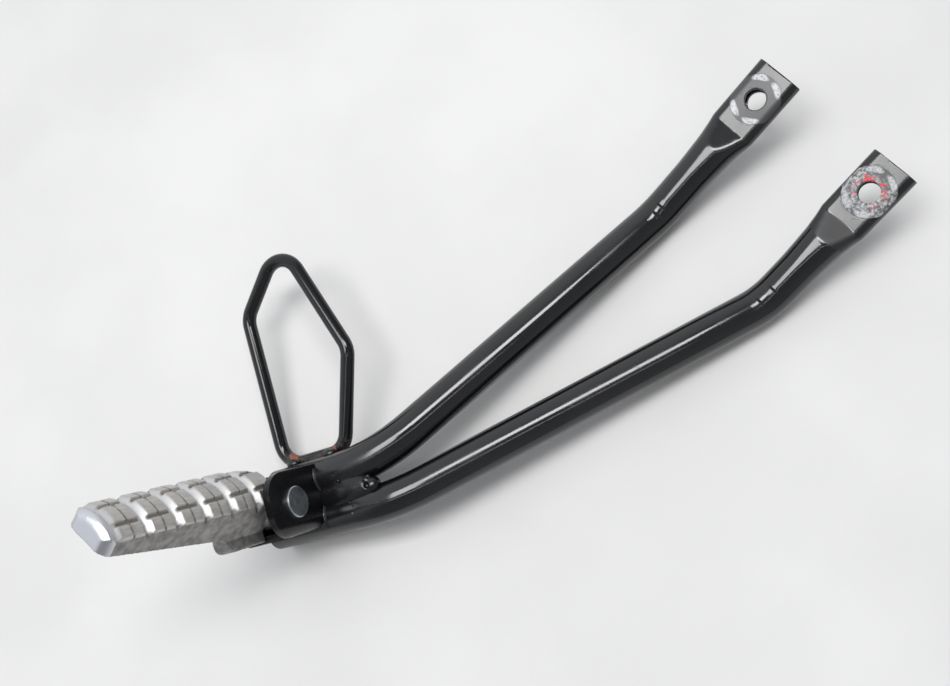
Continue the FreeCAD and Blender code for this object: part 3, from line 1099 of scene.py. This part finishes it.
@dataclass
class PressedTubes:
    """The bracket's tubes, whose pressed ends run softly into the round.

    Args:
        seam: Where the round tube starts, from the bolt hole along the run.
        spare: Length past the seam that an end is softened with.
        band: Length of the band that closes the seam.
        wall_middle: Radius in the middle of the tube's wall.
        end: Where the block that cuts an end off stops, past the end of the tube.
        block: Half the side of that block.
        voxel: Size of the faces of a pressed end.
        passes: Smoothing passes all over the end.
        ramp_passes: More passes on the slope behind the flat.
        slope: Where those passes start, are full, are still full and stop.
    """

    seam: float = -38.5 * MM
    spare: float = 3.0 * MM
    band: float = 0.6 * MM
    wall_middle: float = 7.0 * MM
    end: float = 20.0 * MM
    block: float = 30.0 * MM
    voxel: float = 0.34 * MM
    passes: int = 3
    ramp_passes: int = 70
    slope: tuple[float, float, float, float] = (-38.0 * MM, -33.0 * MM, -17.5 * MM, -15.3 * MM)

    def build(self) -> dict[str, bpy.types.Object]:
        """Model both tubes.

        Returns:
            The tubes by the name of the node that each stands for.
        """
        tubes = {}
        for side in ("upper", "lower"):
            tubes[f"{side}_tube"] = self._tube(f"{side}_tube", f"{side}_bolt_hole")
        return tubes

    def _tube(self, node: str, mount: str) -> bpy.types.Object:
        """One tube: the round part as drawn, and a softened end.

        Args:
            node: Name of the tube's node.
            mount: Name of the bolt hole in its end.

        Returns:
            The tube.
        """
        middle, axes = end_frame(mount)
        round_part = Bench.copy_of(node, f"{node}_painted", merged=False)
        self._cut(round_part, middle, axes)
        end = self._end(node, middle, axes)
        rims = Bench.copy_of(node, f"{node}_rims")
        self._cut(rims, middle, axes)
        self._keep_rims(rims)
        end = Bench.join([end, rims], f"{node}_end")
        for outer in (True, False):
            self._bridge(end, middle, axes, outer)
        return Bench.join([round_part, end], f"{node}_painted")

    def _end(self, node: str, middle: Vector, axes: Matrix) -> bpy.types.Object:
        """Pressed end alone, softened and cut a band short of the seam.

        Args:
            node: Name of the tube's node.
            middle: Middle of the bolt hole.
            axes: Axes of the bolted end.

        Returns:
            The end.
        """
        end = Bench.copy_of(node, f"{node}_end")
        start = self.seam - self.spare
        size = Vector(((self.end - start) / 2, self.block, self.block))
        block_at = middle + axes.col[0] * (start + self.end) / 2
        block = Bench.start(Stock.BLOCK, "end_block", block_at, size, axes)
        Bench.combine(end, block, Meeting.SHARED)
        Bench.soften(end, self.voxel, self.passes)
        self._ease(end, middle, axes)
        cut_at = middle + axes.col[0] * (self.seam + self.band)
        with Bench.editing(end):
            bpy.ops.mesh.select_all(action="SELECT")
            bpy.ops.mesh.bisect(plane_co=cut_at, plane_no=axes.col[0], clear_inner=True)
        return end

    def _cut(self, tube: bpy.types.Object, middle: Vector, axes: Matrix) -> None:
        """Take off the faces past the seam."""
        places = [(face.center - middle).dot(axes.col[0]) for face in tube.data.polygons]
        Bench.drop_faces(tube, [place > self.seam for place in places])

    @staticmethod
    def _keep_rims(tube: bpy.types.Object) -> None:
        """Leave only the open edges of a tube.

        Args:
            tube: The tube.
        """
        with Bench.editing(tube):
            Bench.select_open_edges()
            bpy.ops.mesh.duplicate()
            bpy.ops.mesh.select_all(action="INVERT")
            bpy.ops.mesh.delete(type="VERT")

    def _bridge(self, end: bpy.types.Object, middle: Vector, axes: Matrix, outer: bool) -> None:
        """Close the band between an end and one rim of its round part.

        Args:
            end: The end, with the rims in its mesh.
            middle: Middle of the bolt hole.
            axes: Axes of the bolted end.
            outer: Whether it is the outer rim.
        """
        with Bench.editing(end):
            Bench.select_open_edges()
        mesh = end.data
        for edge in mesh.edges:
            if edge.select:
                first, second = (mesh.vertices[index].co for index in edge.vertices)
                place = (first + second) / 2 - middle
                edge.select = (place.cross(axes.col[0]).length > self.wall_middle) == outer
        with Bench.editing(end):
            bpy.ops.mesh.bridge_edge_loops()
        bpy.ops.object.shade_smooth()

    def _ease(self, end: bpy.types.Object, middle: Vector, axes: Matrix) -> None:
        """Smooth the slope behind the flat, and leave the line of the press crisp.

        Args:
            end: The end.
            middle: Middle of the bolt hole.
            axes: Axes of the bolted end.
        """
        group = end.vertex_groups.new(name="slope")
        first, full, last, stop = self.slope
        for vertex in end.data.vertices:
            place = (vertex.co - middle).dot(axes.col[0])
            share = min((place - first) / (full - first), (stop - place) / (stop - last), 1.0)
            if share > 0:
                group.add([vertex.index], share, "REPLACE")
        Bench.modify(end, "SMOOTH", factor=0.5, iterations=self.ramp_passes, vertex_group="slope")
        end.vertex_groups.clear()

    def dress(self, tubes: dict[str, bpy.types.Object], paint: bpy.types.Material) -> None:
        """Paint the tubes and let each stand for its solid.

        Args:
            tubes: The tubes by the name of their nodes.
            paint: Their finish.
        """
        for node, tube in tubes.items():
            Bench.cover(tube, paint)
            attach(tube, "bracket")
            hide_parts(node)


@dataclass(frozen=True)
class Lump:
    """A lump or drop of weld metal, placed in the hinge frame in millimetres.

    Args:
        x: Place along the hinge pin.
        y: Place along the fold.
        z: Place along the peg.
        size: Half its width.
        flat: Its height as a share of its width.
    """

    x: float
    y: float
    z: float
    size: float
    flat: float = 0.6


@dataclass
class WeldBeads:
    """Weld metal of the bracket: beads with an uneven surface, a cratered lump in the crotch and spatter.

    Args:
        voxel: Size of the faces of a bead.
        passes: Smoothing passes.
        ripple: Size of the unevenness.
        ripple_height: Its height.
        fill: Weld metal that fills the valley between the tubes.
        fill_length: Half its length along the hinge pin, in millimetres.
        fill_passes: Smoothing passes on it.
        foot_passes: Smoothing passes on the beads at the clevis.
        tack_share: Size of the guard loop's rounded tacks as a share of their solids'.
        foot_share: Share of their size that is left by grinding.
        foot_x: Face of the clevis along the hinge pin.
        axis_z: Height of the tubes' axes along the peg.
        feet: Tube axis along the fold for each bead at the clevis.
        crater: Lumps round the pit where the bead between the tubes ends.
        pit: The pit itself.
        spatter: Drops beside the beads.
        drop_ripple: Size of the unevenness of a drop.
        drop_height: Its height.
    """

    voxel: float = 0.22 * MM
    passes: int = 3
    ripple: float = 3.0 * MM
    ripple_height: float = 0.16 * MM
    fill: Lump = Lump(23.0, -1.8, -18.9, 6.9, 0.5)
    fill_length: float = 17.0
    fill_passes: int = 8
    foot_passes: int = 12
    tack_share: float = 1.08
    foot_share: float = 0.88
    foot_x: float = 14.0
    axis_z: float = -23.0
    feet: ClassVar[dict[str, float]] = {"clevis_upper_weld": 6.9, "clevis_lower_weld": -10.1}
    crater: tuple[Lump, ...] = (
        Lump(36.4, 0.7, -18.0, 1.6, 0.8),
        Lump(38.5, -0.9, -18.4, 1.7, 0.8),
        Lump(37.0, -3.2, -18.2, 1.5, 0.8),
        Lump(35.0, -1.6, -17.4, 1.2, 0.7),
    )
    pit: Lump = Lump(36.8, -1.2, -16.9, 1.3, 1.0)
    spatter: tuple[Lump, ...] = (
        Lump(24.6, 3.4, -15.9, 0.75),
        Lump(23.0, -4.6, -16.7, 0.85),
        Lump(27.4, -6.3, -15.9, 0.7),
        Lump(20.4, -15.8, -18.4, 0.8),
        Lump(31.0, 1.9, -16.9, 0.5),
        Lump(29.0, -7.8, -15.3, 0.45),
    )
    drop_ripple: float = 0.6 * MM
    drop_height: float = 0.15 * MM

    def build(self) -> dict[str, bpy.types.Object]:
        """Model every bead and drop.

        Returns:
            Pieces by the name of the node that each stands for, with the spatter under its own name.
        """
        pieces = {}
        for node, axis_y in self.feet.items():
            bead = Bench.copy_of(node, f"{node}_bead")
            Bench.shrink(bead, HINGE.point(self.foot_x, axis_y, self.axis_z), self.foot_share)
            pieces[node] = self._bead(bead, self.foot_passes)
        for node in ("loop_left_weld", "loop_right_weld"):
            pieces[node] = self._bead(self._tack(node), self.passes)
        pieces["tube_weld"] = self._crotch()
        drops = [self._lump(f"drop_{index}", drop) for index, drop in enumerate(self.spatter)]
        pieces["spatter"] = Bench.join(drops, "weld_spatter")
        Bench.roughen(pieces["spatter"], self.drop_ripple, self.drop_height)
        Bench.pick(pieces["spatter"])
        bpy.ops.object.shade_smooth()
        return pieces

    def _lump(self, name: str, lump: Lump, length: Optional[float] = None) -> bpy.types.Object:
        """One lump, flattened along the peg.

        Args:
            name: Name of the lump.
            lump: Its place and size.
            length: Half its length along the hinge pin, where it is drawn out.

        Returns:
            The lump.
        """
        size = Vector((length or lump.size, lump.size, lump.size * lump.flat)) * MM
        return Bench.start(Stock.LUMP, name, HINGE.point(lump.x, lump.y, lump.z), size, HINGE.axes)

    def _tack(self, node: str) -> bpy.types.Object:
        """Rounded tack in the place of its solid.

        Args:
            node: Name of the solid's node.

        Returns:
            The tack.
        """
        places = [HINGE.axes.transposed() @ vertex.co for vertex in frame["nodes"][node].data.vertices]
        low = Vector([min(place[axis] for place in places) for axis in range(3)])
        high = Vector([max(place[axis] for place in places) for axis in range(3)])
        size = (high - low) / 2 * self.tack_share
        return Bench.start(Stock.LUMP, f"{node}_bead", HINGE.axes @ ((low + high) / 2), size, HINGE.axes)

    def _bead(self, bead: bpy.types.Object, passes: int) -> bpy.types.Object:
        """Smooth a bead and make its surface uneven.

        Args:
            bead: The bead.
            passes: Smoothing passes.

        Returns:
            The same bead.
        """
        Bench.soften(bead, self.voxel, passes)
        Bench.roughen(bead, self.ripple, self.ripple_height)
        return bead

    def _crotch(self) -> bpy.types.Object:
        """Bead between the tubes with its cratered end.

        Returns:
            The bead.
        """
        bead = Bench.copy_of("tube_weld", "tube_weld_bead")
        fill = self._lump("fill", self.fill, self.fill_length)
        bead = Bench.join([bead, fill], "tube_weld_bead")
        Bench.soften(bead, self.voxel, self.fill_passes)
        lumps = [self._lump(f"crater_{index}", lump) for index, lump in enumerate(self.crater)]
        bead = Bench.join([bead, *lumps], "tube_weld_bead")
        Bench.soften(bead, self.voxel, self.passes)
        Bench.combine(bead, self._lump("crater_pit", self.pit), Meeting.REST)
        return self._bead(bead, self.passes)

    def dress(self, pieces: dict[str, bpy.types.Object], paint: bpy.types.Material) -> None:
        """Paint the beads and let each stand for its solid.

        Args:
            pieces: The beads by the name of their nodes, and the spatter.
            paint: Their finish.
        """
        for node, piece in pieces.items():
            Bench.cover(piece, paint)
            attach(piece, "bracket")
            if node in frame["nodes"]:
                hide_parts(node)


@dataclass
class Bracket:
    """Solids of the bracket that keep their shape and get a finish.

    Args:
        rusted: Nodes whose paint has rusted.
        handled: Nodes whose paint is sound.
        plated: Nodes that are zinc plated.
    """

    rusted: tuple[str, ...] = ("guard_loop",)
    handled: tuple[str, ...] = ("clevis",)
    plated: tuple[str, ...] = ("hinge_pin", "pin_washer", "split_pin", "detent_ball", "detent_spring")

    def dress(self, paint: dict[Wear, bpy.types.Material], zinc: bpy.types.Material) -> None:
        """Give each solid its finish.

        Args:
            paint: The paints by wear.
            zinc: The plating.
        """
        groups = ((self.rusted, paint[Wear.RUSTED]), (self.handled, paint[Wear.HANDLED]), (self.plated, zinc))
        for names, material in groups:
            for name in names:
                Bench.cover(frame["nodes"][name], material)
                LOG.info("finish of %s: %s", name, material.name)


@dataclass(frozen=True)
class SoftLight:
    """Rectangular lamp that faces the object.

    Args:
        name: Name of the lamp.
        place: Its middle, in the row frame.
        along: Direction of its long side.
        length: Its long side.
        width: Its short side.
        radiance: Brightness of its face.
    """

    name: str
    place: tuple[float, float, float]
    along: tuple[float, float, float]
    length: float
    width: float
    radiance: float

    def build(self, target: Vector) -> None:
        """Hang the lamp and aim it.

        Args:
            target: The point that it faces.
        """
        lamp = bpy.data.lights.new(self.name, "AREA")
        lamp.shape = "RECTANGLE"
        lamp.size = self.length
        lamp.size_y = self.width
        lamp.energy = self.radiance * math.pi * self.length * self.width
        holder = bpy.data.objects.new(self.name, lamp)
        bpy.context.scene.collection.objects.link(holder)
        out = (Vector(self.place) - target).normalized()
        across = out.cross(Vector(self.along)).normalized()
        axes = Matrix((across.cross(out), across, out)).transposed()
        holder.matrix_world = Matrix.Translation(Vector(self.place)) @ axes.to_4x4()


@dataclass
class Studio:
    """Pale floor, soft light and the camera of the photograph.

    Args:
        camera_at: Camera's place in the hinge frame, in millimetres.
        camera_target: Point that it looks at, in the hinge frame, in millimetres.
        camera_up: Up of the picture, in the hinge frame.
        lens: Focal length on the sensor's width.
        sensor: Width of the sensor.
        nearest: Least distance that the camera sees.
        floor_size: Side of the floor.
        floor_colour: Two shades of the floor.
        sky_strength: Strength of the sky's light.
        sky_side: Direction of the pale side of the sky.
        sky: Level of the sky from the dim side, at -1, to the pale side, at 1.
        sky_tint: Tint of the sky.
        lamps: The lamps.
    """

    camera_at: tuple[float, float, float] = (256.8, 3.28, 303.0)
    camera_target: tuple[float, float, float] = (90.968, 41.774, -36.72)
    camera_up: tuple[float, float, float] = (0.2839, 0.9584, -0.030)
    lens: float = 36.0
    sensor: float = 36.0
    nearest: float = 0.01
    floor_size: float = 20.0
    floor_colour: tuple[Colour, Colour] = ((0.70, 0.693, 0.681), (0.745, 0.738, 0.726))
    sky_strength: float = 0.92
    sky_side: tuple[float, float, float] = (-0.80, 0.60, 0.0)
    sky: tuple[Span, ...] = (
        (-1.0, 0.40), (-0.5, 0.32), (-0.2, 0.28), (0.0, 0.31),
        (0.15, 0.48), (0.35, 0.80), (0.6, 0.93), (1.0, 0.95),
    )
    sky_tint: Colour = (0.97, 1.0, 1.05)
    lamps: tuple[SoftLight, ...] = (
        SoftLight("long_softbox", (0.0, 0.09, 1.0), (0.985, 0.173, 0.0), 0.53, 0.24, 11.0),
        SoftLight("end_softbox", (-0.42, -0.10, 1.0), (0.968, 0.2515, 0.0), 0.40, 0.42, 7.2),
        SoftLight("thin_strip", (-0.05, -0.42, 1.0), (0.968, 0.2515, 0.0), 1.05, 0.03, 6.0),
    )

    def build(self) -> None:
        """Set up floor, world, lamps and camera."""
        scene = bpy.context.scene
        scene.view_settings.view_transform = "Standard"
        self._floor()
        self._world(scene)
        target = HINGE.point(*self.camera_target)
        for lamp in self.lamps:
            lamp.build(target)
        self._camera(scene)

    def _floor(self) -> None:
        """Wide plain floor under the lowest point of the object."""
        finish = Finish("pale_floor")
        mottle = finish.noise(9.0, 6.0)
        colour = finish.mix(mottle.rise(0.35, 0.65), *self.floor_colour)
        finish.set(Base_Color=colour, Roughness=0.62 + mottle * 0.1,
                   Normal=finish.bump(finish.noise(500.0, 3.0), 0.05 * MM, 0.2))
        bpy.ops.object.select_all(action="DESELECT")
        bpy.ops.mesh.primitive_plane_add(size=self.floor_size, location=(0, 0, CAD_BOX[0].z))
        floor = bpy.context.active_object
        floor.name = "floor"
        floor.data.materials.append(finish.material)
        floor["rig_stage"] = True

    def _world(self, scene: bpy.types.Scene) -> None:
        """Sky that is pale on the side of the guard loop and dim on the other.

        Args:
            scene: The scene.
        """
        world = bpy.data.worlds.new("studio")
        world.use_nodes = True
        scene.world = world
        tree = ShaderTree(world.node_tree)
        direction = tree.add("ShaderNodeTexCoord", output="Generated")
        settings = {"operation": "DOT_PRODUCT"}
        side = tree.add("ShaderNodeVectorMath", settings, {0: direction, 1: self.sky_side}, "Value")
        stops = []
        for place, level in self.sky:
            stops.append(((place + 1) / 2, tuple(level * part for part in self.sky_tint)))
        sky = tree.add("ShaderNodeValToRGB", {"stops": stops}, {0: (side + 1.0) / 2.0})
        background = tree.nodes["Background"]
        tree.feed(background.inputs["Color"], sky)
        tree.feed(background.inputs["Strength"], self.sky_strength)

    def _camera(self, scene: bpy.types.Scene) -> None:
        """Camera at the photograph's place.

        Args:
            scene: The scene.
        """
        data = bpy.data.cameras.new("photo_camera")
        data.lens = self.lens
        data.sensor_width = self.sensor
        data.clip_start = self.nearest
        camera = bpy.data.objects.new("photo_camera", data)
        scene.collection.objects.link(camera)
        at = HINGE.point(*self.camera_at)
        back = (at - HINGE.point(*self.camera_target)).normalized()
        right = HINGE.direction(*self.camera_up).cross(back).normalized()
        axes = Matrix((right, back.cross(right), back)).transposed()
        camera.matrix_world = Matrix.Translation(at) @ axes.to_4x4()
        scene.camera = camera


def main() -> None:
    """Build the pieces, dress them and set the studio."""
    logging.basicConfig(level=logging.INFO, format="%(name)s: %(message)s")
    paint = {wear: BlackPaint(wear).make() for wear in Wear}
    Bracket().dress(paint, ZincPlate().make())
    peg = CastPeg()
    peg.dress(peg.build(), CastAluminium().make())
    tubes = PressedTubes()
    tubes.dress(tubes.build(), paint[Wear.BOLTED])
    beads = WeldBeads()
    beads.dress(beads.build(), paint[Wear.WELDED])
    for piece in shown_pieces():
        LOG.info("piece %s: %d faces", piece.name, len(piece.data.polygons))
    Studio().build()


if __name__ == "__main__":
    main()
